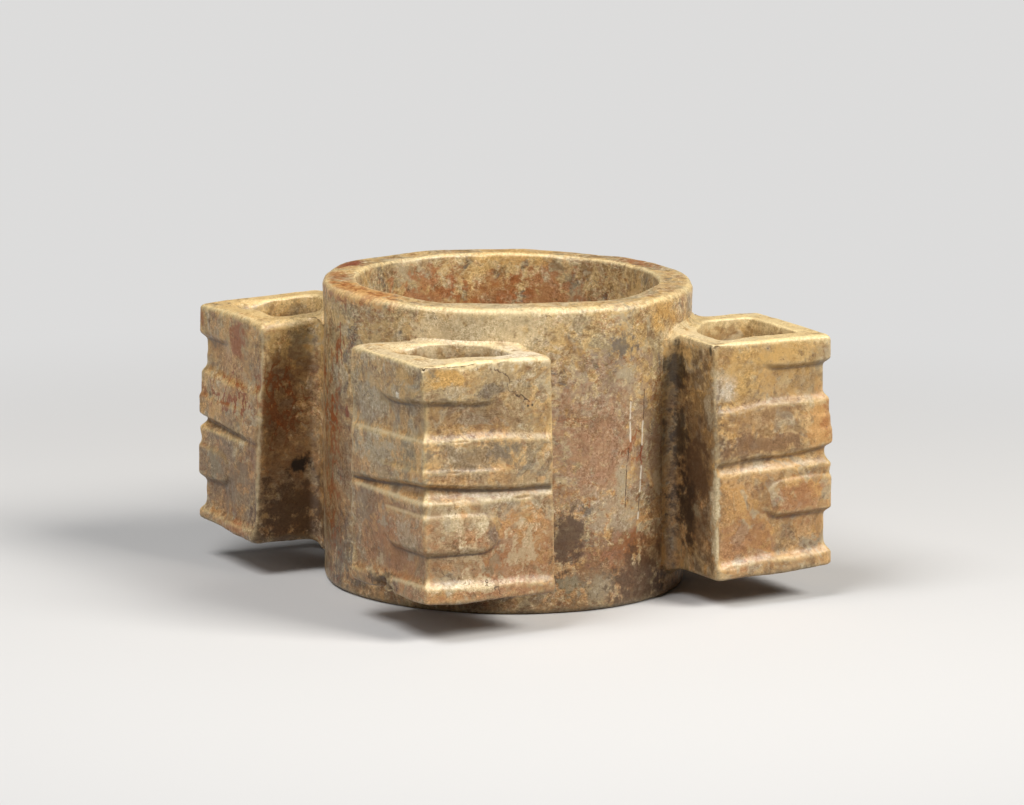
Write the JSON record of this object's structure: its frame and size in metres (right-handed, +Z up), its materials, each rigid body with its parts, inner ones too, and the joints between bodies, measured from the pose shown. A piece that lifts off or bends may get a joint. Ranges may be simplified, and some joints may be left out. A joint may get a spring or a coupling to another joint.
{
  "type": "jade cong",
  "caption": "Squat jade cong: an open round tube with hollow square corner prisms standing out of its wall, each carved in stepped registers round its outer corner.",
  "frame": {"origin": "middle of the base, on the tube's axis, at the level the cong stands on", "axes": "+Z up along the bore; X and Y square to the sides of the square plan, so the corner prisms stand on the diagonals and the front prism is at -X -Y"},
  "size_m": [0.093, 0.093, 0.0604],
  "materials": {
    "jade": "weathered nephrite, buff and ochre with grey clouds and rust veins, soft waxy polish"
  },
  "bodies": {
    "root": {"tube": "jade", "corner_prism_front": "jade", "corner_prism_right": "jade", "corner_prism_back": "jade", "corner_prism_left": "jade"}
  },
  "joints": []
}
